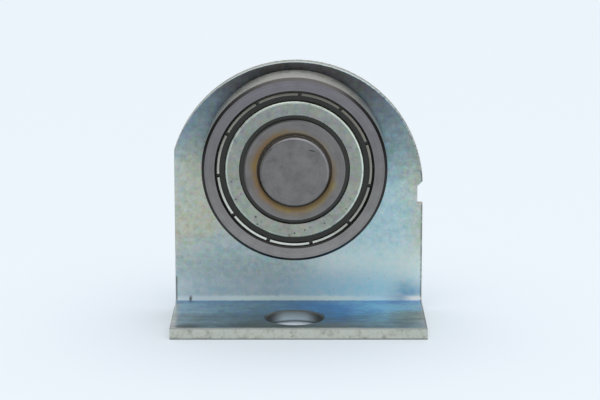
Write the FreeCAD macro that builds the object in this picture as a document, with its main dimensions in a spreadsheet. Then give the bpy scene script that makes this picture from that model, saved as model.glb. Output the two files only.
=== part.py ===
import FreeCAD, Part
import os
import Sketcher

# Bearing roller: a shielded deep-groove ball bearing on a riveted pin, carried by a folded bracket of
# zinc-plated steel strip. The bearing's outer ring is the tread that runs along a rail or a door edge.
# All sizes are in millimetres. The origin is the centre of the bolt hole on the bracket's underside.
# X runs to the right along the flange, Y runs to the back and Z runs up.

DIMENSIONS = [
    # Bracket, blanked from strip and folded once
    ("strip_width", 44, "width of the strip"),
    ("sheet_thickness", 2, "thickness of the strip"),
    ("plate_height", 45, "height of the upright, underside of the flange to the top"),
    ("flange_reach", 22, "depth of the flange, front edge to the back of the upright"),
    ("bend_radius", 1, "inside radius of the fold"),
    ("side_offset", 0.7, "middle of the strip, right of the bolt hole and the pin"),
    ("nose_margin", 0.5, "radius of the round top beyond half the strip"),
    ("nose_corner_round", 2, "rounding of the corner where the round top meets the left side"),
    ("step_depth", 0.95, "step where the blanking tool met the strip's right side"),
    ("step_drop", 3, "lower end of the step, below the centre of the round top"),
    ("step_rise", 0.1, "upper end of the step's floor, above the centre of the round top"),
    ("step_lead", 1, "height of the slope that runs out of the step at its upper end"),
    ("edge_round", 0.25, "rounding that the blanking left on the roller's side"),
    ("bolt_hole_diameter", 10, "hole in the flange"),
    ("hole_setback", 7.3, "bolt hole's centre, behind the flange's front edge"),
    # Pin, turned in one piece and riveted into the upright
    ("axle_height", 27.75, "roller's axis above the underside of the flange"),
    ("pin_proud", 2, "front end of the pin, in front of the bearing"),
    ("pin_edge_round", 0.45, "rounding of the pin's front end"),
    ("collar_height", 2.2, "collar's shoulder above the journal"),
    ("collar_width", 1.5, "room that the collar keeps between bearing and upright"),
    ("spigot_diameter", 9, "riveted end of the pin"),
    ("spigot_clearance", 0.05, "gap round the spigot in the upright"),
    ("rivet_head_diameter", 13, "peened head behind the upright"),
    ("rivet_head_edge", 0.4, "height of the peened head at its rim"),
    ("rivet_head_height", 1.3, "height of the peened head at its middle"),
    # Bearing rings
    ("bore_diameter", 12, "bore of the bearing and journal of the pin"),
    ("outside_diameter", 32, "tread of the roller"),
    ("bearing_width", 10, "width of both rings"),
    ("ring_chamfer", 0.5, "chamfer of the bore and of the tread"),
    ("ball_diameter", 5.953, "ball"),
    ("ball_count", 7, "balls round the bearing"),
    ("race_clearance", 0.05, "gap between a ball and each race"),
    ("groove_conformity", 0.5175, "race radius for each millimetre of ball diameter"),
    ("inner_land_drop", 1.55, "inner ring's land, inside the ball circle"),
    ("outer_land_rise", 1.95, "outer ring's land, outside the ball circle"),
    ("face_notch_depth", 0.8, "stepped edge of the inner ring's faces, along the axis"),
    ("face_notch_height", 0.7, "stepped edge of the inner ring's faces, below the land"),
    # Shields, pressed from thin sheet and curled into the outer ring
    ("shield_sheet", 0.25, "thickness of the shield"),
    ("shield_bend", 0.1, "inside radius of the shield's folds"),
    ("shield_inset", 0.15, "flat of the shield, behind the ring's face"),
    ("shield_seat", 1.1, "seat of the shield, behind the ring's face"),
    ("shield_edge_round", 0.1, "rounding of the shield's bore on its outside"),
    ("shield_bore_drop", 1.51, "edge of the shield's bore, inside the ball circle"),
    ("shield_wall_rise", 0.97, "outside of the shield's shoulder, outside the ball circle"),
    ("rim_rise", 2.15, "middle of the curled rim, outside the ball circle"),
    ("rim_radius", 0.4, "outside radius of the curl"),
    ("rim_hem", 0.21, "straight end of the curl"),
    ("rim_hook", 0.05, "overlap of the curl under the ring's mouth"),
    ("rim_clearance", 0.1, "gap between the curl and its groove"),
    ("mouth_chamfer", 0.27, "chamfer that leads the rim into the ring"),
    ("notch_count", 11, "notches that let the rim curl"),
    ("notch_width", 0.65, "width of a notch"),
    ("notch_angle", 3.9, "first notch, degrees clockwise from the top"),
    # Cage, two pressed halves held by rivets
    ("cage_sheet", 0.4, "thickness of each half"),
    ("cage_half_width", 1.25, "half the cage's width, either side of the ball circle"),
    ("pocket_clearance", 0.1, "gap between a ball and its pocket"),
    ("cage_rivet_gap", 0.35, "gap between a rivet's head and the pockets beside it"),
    ("cage_rivet_neck", 0.35, "rivet's shank, below the edge of its head"),
    ("cage_rivet_dome", 0.4, "height of a rivet's head"),
    ("cage_rivet_clearance", 0.05, "gap round a rivet's shank"),
]

document = FreeCAD.newDocument("bearing_roller")
sheet = document.addObject("Spreadsheet::Sheet", "dims")
for row, (alias, value, meaning) in enumerate(DIMENSIONS, start=1):
    sheet.set(f"A{row}", meaning)
    sheet.set(f"B{row}", str(value))
    sheet.setAlias(f"B{row}", alias)
document.recompute()

# Radii and places that several pieces share, as expressions on the sheet
plate_front = "(dims.flange_reach - dims.sheet_thickness - dims.hole_setback)"
bearing_front = f"({plate_front} - dims.collar_width - dims.bearing_width)"
bearing_middle = f"({bearing_front} + dims.bearing_width / 2)"
bearing_back = f"({bearing_front} + dims.bearing_width)"
journal_radius = "(dims.bore_diameter / 2)"
ball_circle = "((dims.bore_diameter + dims.outside_diameter) / 4)"
race_reach = "(dims.ball_diameter / 2 + dims.race_clearance)"
groove_radius = "(dims.groove_conformity * dims.ball_diameter)"
rim_middle = f"({ball_circle} + dims.rim_rise)"
pocket_inside = "(dims.ball_diameter / 2 + dims.pocket_clearance)"
pocket_outside = f"({pocket_inside} + dims.cage_sheet)"
cage_rivet_head = (
    f"(2 * {ball_circle} * sin(90 / dims.ball_count) - {pocket_outside} - dims.cage_rivet_gap)"
)
cage_rivet_shank = f"({cage_rivet_head} - dims.cage_rivet_neck)"

UP = FreeCAD.Vector(0, 0, 1)
ALONG_AXLE = FreeCAD.Vector(0, 1, 0)
TOLERANCE = 0.001


def size(expression):
    return float(sheet.evalExpression(expression))


def place(piece, x, y, z):
    piece.setExpression("Placement.Base.x", x)
    piece.setExpression("Placement.Base.y", y)
    piece.setExpression("Placement.Base.z", z)


def place_on_axle(piece, y):
    place(piece, "0", y, "dims.axle_height")


def turn_about(piece, axis, degrees):
    piece.Placement = FreeCAD.Placement(FreeCAD.Vector(), FreeCAD.Rotation(axis, size(degrees)))
    piece.setExpression("Placement.Rotation.Angle", degrees)


def new_body(label):
    return document.addObject("PartDesign::Body", label)


def origin_part(body, role):
    return next(part for part in body.Origin.OriginFeatures if part.Role == role)


def new_sketch(body, plane, name):
    sketch = body.newObject("Sketcher::SketchObject", f"{body.Name}_{name}")
    sketch.AttachmentSupport = [(origin_part(body, plane), "")]
    sketch.MapMode = "FlatFace"
    return sketch


def hold(sketch, kind, points, expression):
    """Hold a distance or a radius at the value of an expression."""
    number = sketch.addConstraint(Sketcher.Constraint(kind, *points, size(expression)))
    sketch.setExpression(f"Constraints[{number}]", expression)


def draw_outline(sketch, corners):
    """Closed outline. A corner is (x, y), or (x, y, centre x, centre y) if an arc leads on from it."""
    points = [FreeCAD.Vector(size(corner[0]), size(corner[1]), 0) for corner in corners]
    starts = []
    ends = []
    for index, corner in enumerate(corners):
        start = points[index]
        end = points[(index + 1) % len(points)]
        forward = True
        if len(corner) == 2:
            edge = Part.LineSegment(start, end)
        else:
            centre = FreeCAD.Vector(size(corner[2]), size(corner[3]), 0)
            forward = (start - centre).cross(end - centre).z > 0
            first, last = (start, end) if forward else (end, start)
            circle = Part.Circle(centre, UP, (start - centre).Length)
            edge = Part.Arc(circle, circle.parameter(first), circle.parameter(last))
        number = sketch.addGeometry(edge, False)
        starts.append((number, 1 if forward else 2))
        ends.append((number, 2 if forward else 1))
    origin = (-1, 1)
    for index, corner in enumerate(corners):
        sketch.addConstraint(Sketcher.Constraint("Coincident", *ends[index - 1], *starts[index]))
        hold(sketch, "DistanceX", origin + starts[index], corner[0])
        hold(sketch, "DistanceY", origin + starts[index], corner[1])
        if len(corner) == 4:
            across = f"({corner[0]} - ({corner[2]}))"
            along = f"({corner[1]} - ({corner[3]}))"
            hold(sketch, "Radius", (starts[index][0],), f"sqrt({across}^2 + {along}^2)")


def draw_circle(sketch, x, y, radius):
    centre = FreeCAD.Vector(size(x), size(y), 0)
    number = sketch.addGeometry(Part.Circle(centre, UP, size(radius)), False)
    hold(sketch, "DistanceX", (-1, 1, number, 3), x)
    hold(sketch, "DistanceY", (-1, 1, number, 3), y)
    hold(sketch, "Radius", (number,), radius)


def pad(body, sketch, length, side="One side", reversed_way=False):
    feature = body.newObject("PartDesign::Pad", f"{sketch.Name}_pad")
    feature.Profile = sketch
    feature.SideType = side
    feature.Reversed = reversed_way
    feature.setExpression("Length", length)
    return feature


def cut_to_depth(body, sketch, depth, reversed_way=False):
    feature = body.newObject("PartDesign::Pocket", f"{sketch.Name}_cut")
    feature.Profile = sketch
    feature.Reversed = reversed_way
    feature.setExpression("Length", depth)
    return feature


def cut_through(body, sketch):
    feature = body.newObject("PartDesign::Pocket", f"{sketch.Name}_cut")
    feature.Profile = sketch
    feature.Type = "ThroughAll"
    feature.SideType = "Symmetric"
    return feature


def repeat_round_axle(body, feature, count):
    pattern = body.newObject("PartDesign::PolarPattern", f"{feature.Name}_pattern")
    pattern.Originals = [feature]
    pattern.Axis = (origin_part(body, "Y_Axis"), [""])
    pattern.Angle = 360
    pattern.setExpression("Occurrences", count)
    body.Tip = pattern
    return pattern


def turned_piece(label, corners):
    """Body of revolution about Y, from an outline of (radius, distance along Y)."""
    body = new_body(label)
    sketch = new_sketch(body, "XY_Plane", "section")
    draw_outline(sketch, corners)
    revolution = body.newObject("PartDesign::Revolution", f"{label}_turning")
    revolution.Profile = sketch
    revolution.ReferenceAxis = (sketch, ["V_Axis"])
    revolution.Angle = 360
    return body


def edges_through_strip(shape, x, z):
    """Edges that run through the strip's thickness, front to back, at one point of its outline."""
    names = []
    for number, edge in enumerate(shape.Edges, start=1):
        middle = edge.CenterOfMass
        straight_back = edge.BoundBox.YLength > edge.Length - TOLERANCE
        if straight_back and abs(middle.x - x) < TOLERANCE and abs(middle.z - z) < TOLERANCE:
            names.append(f"Edge{number}")
    return names


def inside_edges(shape):
    """Edges where the strip's inner skin, on the roller's side, meets its cut edges and the bolt hole."""
    front = size("dims.flange_reach - dims.sheet_thickness")
    top = size("dims.sheet_thickness")
    bend = size("dims.bend_radius")
    spigot_hole = size("dims.spigot_diameter / 2 + dims.spigot_clearance")

    def is_skin(face):
        if isinstance(face.Surface, Part.Cylinder):
            along_fold = abs(face.Surface.Axis.x) > 1 - TOLERANCE
            return along_fold and abs(face.Surface.Radius - bend) < TOLERANCE
        middle = face.CenterOfMass
        box = face.BoundBox
        upright = box.YLength < TOLERANCE and abs(middle.y - front) < TOLERANCE
        flange = box.ZLength < TOLERANCE and abs(middle.z - top) < TOLERANCE
        return upright or flange

    def is_spigot_hole(face):
        round_wall = isinstance(face.Surface, Part.Cylinder)
        return round_wall and abs(face.Surface.Radius - spigot_hole) < TOLERANCE

    names = []
    for number, edge in enumerate(shape.Edges, start=1):
        faces = shape.ancestorsOfType(edge, Part.Face)
        skins = [face for face in faces if is_skin(face)]
        if len(skins) == 1 and not any(is_spigot_hole(face) for face in faces):
            names.append(f"Edge{number}")
    return names


# Bracket: an L of strip whose upright ends in a round nose. The nose runs smoothly into the right side,
# meets the left side at a corner, and has a small step with a sloped upper end below it on the right.
bracket = new_body("bracket")
fold_outside = "(dims.bend_radius + dims.sheet_thickness)"
skin_front = "(dims.flange_reach - dims.sheet_thickness)"
strip_half = "(dims.strip_width / 2)"
fold = new_sketch(bracket, "YZ_Plane", "fold")
draw_outline(fold, [
    ("0", "0"),
    (f"dims.flange_reach - {fold_outside}", "0", f"dims.flange_reach - {fold_outside}", fold_outside),
    ("dims.flange_reach", fold_outside),
    ("dims.flange_reach", "dims.plate_height"),
    (skin_front, "dims.plate_height"),
    (skin_front, fold_outside, f"{skin_front} - dims.bend_radius", fold_outside),
    (f"{skin_front} - dims.bend_radius", "dims.sheet_thickness"),
    ("0", "dims.sheet_thickness"),
])
pad(bracket, fold, "dims.strip_width", side="Symmetric")

nose_radius = f"({strip_half} + dims.nose_margin)"
nose_middle = f"(dims.plate_height - {nose_radius})"
nose_corner = f"({nose_middle} + sqrt(2 * dims.strip_width * dims.nose_margin))"
beyond = f"({strip_half} + dims.sheet_thickness)"
above = "(dims.plate_height + dims.sheet_thickness)"
nose = new_sketch(bracket, "XZ_Plane", "nose")
draw_outline(nose, [
    (strip_half, nose_middle),
    (beyond, nose_middle),
    (beyond, above),
    (f"-{beyond}", above),
    (f"-{beyond}", nose_corner),
    (f"-{strip_half}", nose_corner, "-dims.nose_margin", nose_middle),
    ("-dims.nose_margin", "dims.plate_height", "-dims.nose_margin", nose_middle),
])
cut_through(bracket, nose)

step = new_sketch(bracket, "XZ_Plane", "step")
step_floor = f"({strip_half} - dims.step_depth)"
step_top = f"({nose_middle} + dims.step_rise)"
slope_end = f"({step_top} + dims.step_lead * ({beyond} - {step_floor}) / dims.step_depth)"
draw_outline(step, [
    (step_floor, f"{nose_middle} - dims.step_drop"),
    (beyond, f"{nose_middle} - dims.step_drop"),
    (beyond, slope_end),
    (step_floor, step_top),
])
cut_through(bracket, step)

pin_hole = new_sketch(bracket, "XZ_Plane", "pin_hole")
draw_circle(pin_hole, "-dims.side_offset", "dims.axle_height",
            "dims.spigot_diameter / 2 + dims.spigot_clearance")
cut_through(bracket, pin_hole)

bolt_hole = new_sketch(bracket, "XY_Plane", "bolt_hole")
draw_circle(bolt_hole, "-dims.side_offset", "dims.hole_setback", "dims.bolt_hole_diameter / 2")
flange_cut = cut_through(bracket, bolt_hole)
document.recompute()

nose_corner_edges = edges_through_strip(flange_cut.Shape, -size(strip_half), size(nose_corner))
rounded_corner = bracket.newObject("PartDesign::Fillet", "bracket_corner")
rounded_corner.Base = (flange_cut, nose_corner_edges)
rounded_corner.setExpression("Radius", "dims.nose_corner_round")
document.recompute()
blanked_edges = bracket.newObject("PartDesign::Fillet", "bracket_edges")
blanked_edges.Base = (rounded_corner, inside_edges(rounded_corner.Shape))
blanked_edges.setExpression("Radius", "dims.edge_round")
place(bracket, "dims.side_offset", "-dims.hole_setback", "0")

# Pin: journal, collar, spigot through the upright and the head that peening formed behind it
collar_radius = f"({journal_radius} + dims.collar_height)"
shoulder = "(dims.pin_proud + dims.bearing_width)"
collar_back = f"({shoulder} + dims.collar_width)"
upright_back = f"({collar_back} + dims.sheet_thickness)"
head_radius = "(dims.rivet_head_diameter / 2)"
dome_rise = "(dims.rivet_head_height - dims.rivet_head_edge)"
dome_radius = f"(({head_radius}^2 + {dome_rise}^2) / (2 * {dome_rise}))"
head_top = f"({upright_back} + dims.rivet_head_height)"
axle_pin = turned_piece("axle_pin", [
    ("0", "0"),
    (f"{journal_radius} - dims.pin_edge_round", "0",
     f"{journal_radius} - dims.pin_edge_round", "dims.pin_edge_round"),
    (journal_radius, "dims.pin_edge_round"),
    (journal_radius, shoulder),
    (collar_radius, shoulder),
    (collar_radius, collar_back),
    ("dims.spigot_diameter / 2", collar_back),
    ("dims.spigot_diameter / 2", upright_back),
    (head_radius, upright_back),
    (head_radius, f"{upright_back} + dims.rivet_head_edge", "0", f"{head_top} - {dome_radius}"),
    ("0", head_top),
])
place_on_axle(axle_pin, f"{bearing_front} - dims.pin_proud")

# Inner ring: bore with chamfers, stepped face edges that the shields reach over, and the race
inner_land = f"({ball_circle} - dims.inner_land_drop)"
inner_notch = f"({inner_land} - dims.face_notch_height)"
inner_race_middle = f"({ball_circle} - {race_reach} + {groove_radius})"
inner_race_half = f"sqrt({groove_radius}^2 - ({inner_race_middle} - {inner_land})^2)"
inner_ring = turned_piece("inner_ring", [
    (f"{journal_radius} + dims.ring_chamfer", "0"),
    (inner_notch, "0"),
    (inner_notch, "dims.face_notch_depth"),
    (inner_land, "dims.face_notch_depth"),
    (inner_land, f"dims.bearing_width / 2 - {inner_race_half}",
     inner_race_middle, "dims.bearing_width / 2"),
    (inner_land, f"dims.bearing_width / 2 + {inner_race_half}"),
    (inner_land, "dims.bearing_width - dims.face_notch_depth"),
    (inner_notch, "dims.bearing_width - dims.face_notch_depth"),
    (inner_notch, "dims.bearing_width"),
    (f"{journal_radius} + dims.ring_chamfer", "dims.bearing_width"),
    (journal_radius, "dims.bearing_width - dims.ring_chamfer"),
    (journal_radius, "dims.ring_chamfer"),
])
place_on_axle(inner_ring, bearing_front)

# Outer ring: tread with chamfers, the race, and on each side a seat and a groove for the shield's rim
tread_radius = "(dims.outside_diameter / 2)"
outer_land = f"({ball_circle} + dims.outer_land_rise)"
outer_race_middle = f"({ball_circle} + {race_reach} - {groove_radius})"
outer_race_half = f"sqrt({groove_radius}^2 - ({outer_land} - {outer_race_middle})^2)"
mouth_radius = f"({rim_middle} + dims.rim_radius - dims.rim_hook)"
rim_groove = f"({rim_middle} + dims.rim_radius + dims.rim_clearance)"
mouth_end = f"(dims.mouth_chamfer + {rim_groove} - {mouth_radius})"
outer_ring = turned_piece("outer_ring", [
    (f"{mouth_radius} + dims.mouth_chamfer", "0"),
    (f"{tread_radius} - dims.ring_chamfer", "0"),
    (tread_radius, "dims.ring_chamfer"),
    (tread_radius, "dims.bearing_width - dims.ring_chamfer"),
    (f"{tread_radius} - dims.ring_chamfer", "dims.bearing_width"),
    (f"{mouth_radius} + dims.mouth_chamfer", "dims.bearing_width"),
    (mouth_radius, "dims.bearing_width - dims.mouth_chamfer"),
    (rim_groove, f"dims.bearing_width - {mouth_end}"),
    (rim_groove, "dims.bearing_width - dims.shield_seat"),
    (outer_land, "dims.bearing_width - dims.shield_seat"),
    (outer_land, f"dims.bearing_width / 2 + {outer_race_half}",
     outer_race_middle, "dims.bearing_width / 2"),
    (outer_land, f"dims.bearing_width / 2 - {outer_race_half}"),
    (outer_land, "dims.shield_seat"),
    (rim_groove, "dims.shield_seat"),
    (rim_groove, mouth_end),
    (mouth_radius, "dims.mouth_chamfer"),
])
place_on_axle(outer_ring, bearing_front)


def shield(label):
    """Pressed ring: a flat, a shoulder, a channel and a rim that is curled over and cut by notches."""
    bore = f"({ball_circle} - dims.shield_bore_drop)"
    wall = f"({ball_circle} + dims.shield_wall_rise)"
    bend = "dims.shield_bend"
    sheet_metal = "dims.shield_sheet"
    flat = "dims.shield_inset"
    edge = "dims.shield_edge_round"
    seat = "dims.shield_seat"
    shoulder_at = (f"({wall} - {bend} - {sheet_metal})", f"({flat} + {bend} + {sheet_metal})")
    channel_at = (f"({wall} + {bend})", f"({seat} - {bend} - {sheet_metal})")
    curl_at = (rim_middle, f"({seat} - dims.rim_radius)")
    curl_inside = f"(dims.rim_radius - {sheet_metal})"
    hem = f"({rim_middle} - dims.rim_hem)"
    curl_top = f"({seat} - 2 * dims.rim_radius)"
    body = turned_piece(label, [
        (f"{bore} + {edge}", flat),
        (shoulder_at[0], flat) + shoulder_at,
        (wall, shoulder_at[1]),
        (wall, channel_at[1]) + channel_at,
        (channel_at[0], f"{seat} - {sheet_metal}"),
        (rim_middle, f"{seat} - {sheet_metal}") + curl_at,
        (f"{rim_middle} + {curl_inside}", curl_at[1]) + curl_at,
        (rim_middle, f"{curl_top} + {sheet_metal}"),
        (hem, f"{curl_top} + {sheet_metal}"),
        (hem, curl_top),
        (rim_middle, curl_top) + curl_at,
        (f"{rim_middle} + dims.rim_radius", curl_at[1]) + curl_at,
        (rim_middle, seat),
        (channel_at[0], seat) + channel_at,
        (f"{wall} - {sheet_metal}", channel_at[1]),
        (f"{wall} - {sheet_metal}", shoulder_at[1]) + shoulder_at,
        (shoulder_at[0], f"{flat} + {sheet_metal}"),
        (bore, f"{flat} + {sheet_metal}"),
        (bore, f"{flat} + {edge}", f"{bore} + {edge}", f"{flat} + {edge}"),
    ])
    notch = new_sketch(body, "XZ_Plane", "notch")
    notch_half = "(dims.notch_width / 2)"
    notch_end = f"({rim_middle} + 2 * dims.rim_radius)"
    draw_outline(notch, [
        (f"-{notch_half}", f"{hem} - dims.rim_clearance"),
        (notch_half, f"{hem} - dims.rim_clearance"),
        (notch_half, notch_end),
        (f"-{notch_half}", notch_end),
    ])
    first_notch = cut_to_depth(body, notch, f"{seat} - {sheet_metal}")
    repeat_round_axle(body, first_notch, "dims.notch_count")
    return body


front_shield = shield("front_shield")
turn_about(front_shield, ALONG_AXLE, "dims.notch_angle")
place_on_axle(front_shield, bearing_front)

# The rear shield is the same pressing turned half round, so its rim faces the upright
rear_shield = shield("rear_shield")
turn_about(rear_shield, UP, "180")
place_on_axle(rear_shield, bearing_back)


def cage_half(label):
    """Pressed ring with a round pocket for each ball and a rivet hole between the pockets."""
    body = new_body(label)
    blank = new_sketch(body, "XZ_Plane", "blank")
    draw_circle(blank, "0", "0", f"{ball_circle} - {pocket_outside}")
    draw_circle(blank, "0", "0", f"{ball_circle} + {pocket_outside}")
    pad(body, blank, "dims.cage_sheet", reversed_way=True)

    for kind, radius in (("Additive", pocket_outside), ("Subtractive", pocket_inside)):
        dome = body.newObject(f"PartDesign::{kind}Sphere", f"{label}_{kind.lower()}_pocket")
        dome.Angle1 = 0
        dome.Angle2 = 90
        dome.Placement = FreeCAD.Placement(FreeCAD.Vector(), FreeCAD.Rotation(UP, ALONG_AXLE))
        dome.setExpression("Radius", radius)
        dome.setExpression("Placement.Base.z", ball_circle)
        repeat_round_axle(body, dome, "dims.ball_count")

    trim = new_sketch(body, "XZ_Plane", "trim")
    draw_circle(trim, "0", "0", f"{ball_circle} - dims.cage_half_width")
    draw_circle(trim, "0", "0", f"{ball_circle} + dims.cage_half_width")
    draw_circle(trim, "0", "0", f"{ball_circle} + 2 * {pocket_outside}")
    cut_through(body, trim)

    rivet_hole = new_sketch(body, "XZ_Plane", "rivet_hole")
    draw_circle(rivet_hole, f"{ball_circle} * sin(180 / dims.ball_count)",
                f"{ball_circle} * cos(180 / dims.ball_count)",
                f"{cage_rivet_shank} + dims.cage_rivet_clearance")
    first_hole = cut_through(body, rivet_hole)
    repeat_round_axle(body, first_hole, "dims.ball_count")
    return body


cage_rear = cage_half("cage_rear")
place_on_axle(cage_rear, bearing_middle)
cage_front = cage_half("cage_front")
turn_about(cage_front, UP, "180")
place_on_axle(cage_front, bearing_middle)

# Cage rivets: a shank through both halves and a low round head on each side, one between two pockets
cage_rivets = new_body("cage_rivets")
cage_rivets.AllowCompound = True
rivet_dome_radius = f"(({cage_rivet_head}^2 + dims.cage_rivet_dome^2) / (2 * dims.cage_rivet_dome))"
rivet_top = "(dims.cage_sheet + dims.cage_rivet_dome)"
dome_middle = f"({rivet_top} - {rivet_dome_radius})"
rivet_section = new_sketch(cage_rivets, "YZ_Plane", "section")
draw_outline(rivet_section, [
    (f"-{rivet_top}", ball_circle),
    (rivet_top, ball_circle, dome_middle, ball_circle),
    ("dims.cage_sheet", f"{ball_circle} + {cage_rivet_head}"),
    ("dims.cage_sheet", f"{ball_circle} + {cage_rivet_shank}"),
    ("-dims.cage_sheet", f"{ball_circle} + {cage_rivet_shank}"),
    ("-dims.cage_sheet", f"{ball_circle} + {cage_rivet_head}", f"-{dome_middle}", ball_circle),
])
first_rivet = cage_rivets.newObject("PartDesign::Revolution", "cage_rivet_turning")
first_rivet.Profile = rivet_section
first_rivet.ReferenceAxis = (rivet_section, ["Edge1"])
first_rivet.Angle = 360
repeat_round_axle(cage_rivets, first_rivet, "dims.ball_count")
turn_about(cage_rivets, ALONG_AXLE, "180 / dims.ball_count")
place_on_axle(cage_rivets, bearing_middle)

# Balls, evenly spaced with the first one at the top
balls = []
for number in range(int(size("dims.ball_count"))):
    ball = document.addObject("Part::Sphere", f"ball_{number + 1}")
    ball.setExpression("Radius", "dims.ball_diameter / 2")
    turn = f"(360 * {number} / dims.ball_count)"
    place(ball, f"{ball_circle} * sin({turn})", bearing_middle,
          f"dims.axle_height + {ball_circle} * cos({turn})")
    balls.append(ball)

document.recompute()
pieces = [bracket, axle_pin, inner_ring, outer_ring, front_shield, rear_shield]
pieces += [cage_front, cage_rear, cage_rivets] + balls
for item in document.Objects:
    if "Invalid" in item.State or "Error" in item.State:
        raise RuntimeError(f"{item.Label} failed: {item.State}")
for piece in pieces:
    if piece.Shape.isNull() or not piece.Shape.isValid():
        raise RuntimeError(f"{piece.Label} has no valid shape")

os.makedirs("parts", exist_ok=True)
for piece in pieces:
    piece.Shape.exportStep(os.path.join("parts", f"{piece.Label}.step"))
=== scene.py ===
import math
import bpy
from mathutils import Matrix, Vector


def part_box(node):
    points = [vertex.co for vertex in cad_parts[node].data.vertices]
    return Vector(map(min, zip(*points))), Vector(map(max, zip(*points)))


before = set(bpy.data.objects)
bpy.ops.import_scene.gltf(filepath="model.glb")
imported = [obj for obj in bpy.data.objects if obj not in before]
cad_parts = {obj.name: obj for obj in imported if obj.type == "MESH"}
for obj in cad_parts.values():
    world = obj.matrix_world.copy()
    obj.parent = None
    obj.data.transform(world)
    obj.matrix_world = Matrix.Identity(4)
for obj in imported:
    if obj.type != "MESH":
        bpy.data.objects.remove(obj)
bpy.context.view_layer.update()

# Bracket
# One strip of cold-rolled steel, blanked, punched and folded into an L, then zinc plated and passivated.
# It carries everything else, and a bolt through the hole in its flange holds it down.
MM = 0.001
FLANGE_TOP = 2.0 * MM
FOLD_TOP = 3.0 * MM
HOLE_RADIUS = 5.0 * MM
NOSE_RADIUS = 22.5 * MM
bracket_low, bracket_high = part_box("bracket")
ring_low, ring_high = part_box("inner_ring")
axle = (ring_low + ring_high) / 2
# The sockets of a Mix node that mixes colours, by their place
FACTOR, FROM, TO, MIXED = 0, 6, 7, 2


def linear(hex_colour):
    """The linear RGBA of an sRGB hex colour."""
    channels = [int(hex_colour[i:i + 2], 16) / 255 for i in (1, 3, 5)]
    return [c / 12.92 if c <= 0.04045 else ((c + 0.055) / 1.055) ** 2.4 for c in channels] + [1.0]


def node_adder(tree):
    """Empty a node tree and return the function that adds one node to it with its settings and links."""
    tree.nodes.clear()

    def add(kind, inputs=(), stops=(), **settings):
        node = tree.nodes.new("ShaderNode" + kind)
        for name, value in settings.items():
            setattr(node, name, value)
        for key, value in dict(inputs).items():
            if isinstance(value, bpy.types.NodeSocket):
                tree.links.new(value, node.inputs[key])
            else:
                node.inputs[key].default_value = value
        for index, (position, colour) in enumerate(stops):
            ramp = node.color_ramp.elements
            stop = ramp[index] if index < len(ramp) else ramp.new(position)
            stop.position, stop.color = position, colour
        return node.outputs

    return add


def new_material(name):
    """A material with an empty node tree, and the function that adds nodes to it."""
    material = bpy.data.materials.new(name)
    material.use_nodes = True
    return material, node_adder(material.node_tree)


def dress(material, *pieces):
    """Give CAD pieces one material all over."""
    for piece in pieces:
        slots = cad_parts[piece].data.materials
        slots.clear()
        slots.append(material)


# Blue passivate on bright zinc: a half-matt metal whose thin film drifts from grey to straw at the left and
# to blue at the bend. The bend carries a painted highlight, the upright has painted light low down and right
# of the roller and painted shade towards its top, and the flange has painted shade towards its front, where
# it is also smudged. The sheared edges are torn and speckled, and the back is plainer.
zinc, add = new_material("zinc_plated_cold_rolled_strip_blue_passivated")
spot = add("TexCoord")
at = spot["Object"]
x, y, z = add("SeparateXYZ", {"Vector": at})
nx, ny, nz = add("SeparateXYZ", {"Vector": spot["Normal"]})
beside = add("Math", {0: x}, operation="ABSOLUTE")[0]
height = add("MapRange", {"Value": z, "From Max": bracket_high.z})[0]
right_end = add("MapRange", {"Value": x, "From Min": 15 * MM, "From Max": 20 * MM},
                interpolation_type="SMOOTHSTEP")[0]
inner_skin = add("MapRange", {"Value": ny, "From Min": 0.0, "From Max": -0.5})[0]
outer_skin = add("MapRange", {"Value": ny, "From Min": 0.3, "From Max": 0.7})[0]

# Zinc crystals and rolling marks are under 0.1 mm; they are drawn near 1 mm, as fine as the picture can show.
ROLLING_MARK = (9 * MM, 0.8 * MM, 0.8 * MM)
clouds = add("TexNoise", {"Vector": at, "Scale": 1 / (15 * MM), "Detail": 2.0, "Distortion": 0.5})["Fac"]
blotch = add("TexNoise", {"Vector": at, "Scale": 1 / (3.2 * MM), "Detail": 4.0, "Roughness": 0.6})["Fac"]
mottle = add("TexNoise", {"Vector": at, "Scale": 1 / (1.1 * MM), "Detail": 4.0, "Roughness": 0.62})["Fac"]
tints = add("TexNoise", {"Vector": at, "Scale": 1 / (0.9 * MM), "Detail": 3.0, "Roughness": 0.75})["Color"]
along_strip = add("VectorMath", {0: at, 1: [1 / size for size in ROLLING_MARK]}, operation="MULTIPLY")[0]
rolled = add("TexNoise", {"Vector": along_strip, "Scale": 1.0, "Detail": 3.0})["Fac"]

# The film on the upright: grey, straw left of the roller and tan at the right edge, and made paler right of
# the roller by painted light
NONE, FULL = (0, 0, 0, 1), (1, 1, 1, 1)
zinc_colour = add("ValToRGB", {"Fac": clouds}, stops=[
    (0.30, linear("#adc2cb")), (0.48, linear("#bccdd1")), (0.62, linear("#c7d1ce")),
    (0.75, linear("#b6cfdc"))])[0]
straw = add("MapRange", {"Value": x, "From Min": -2 * MM, "From Max": -16 * MM},
            interpolation_type="SMOOTHSTEP")[0]
straw_height = add("ValToRGB", {"Fac": height}, stops=[
    (0.14, NONE), (0.34, FULL), (0.58, FULL), (0.74, NONE)])[0]
straw_cloud = add("MapRange", {"Value": clouds, "From Min": 0.25, "From Max": 0.55})[0]
straw = add("Math", {0: straw, 1: straw_height}, operation="MULTIPLY")[0]
straw = add("Math", {0: straw, 1: straw_cloud}, operation="MULTIPLY")[0]
zinc_colour = add("Mix", {FACTOR: straw, FROM: zinc_colour, TO: linear("#c4c7b4")}, data_type="RGBA")[MIXED]
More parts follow.
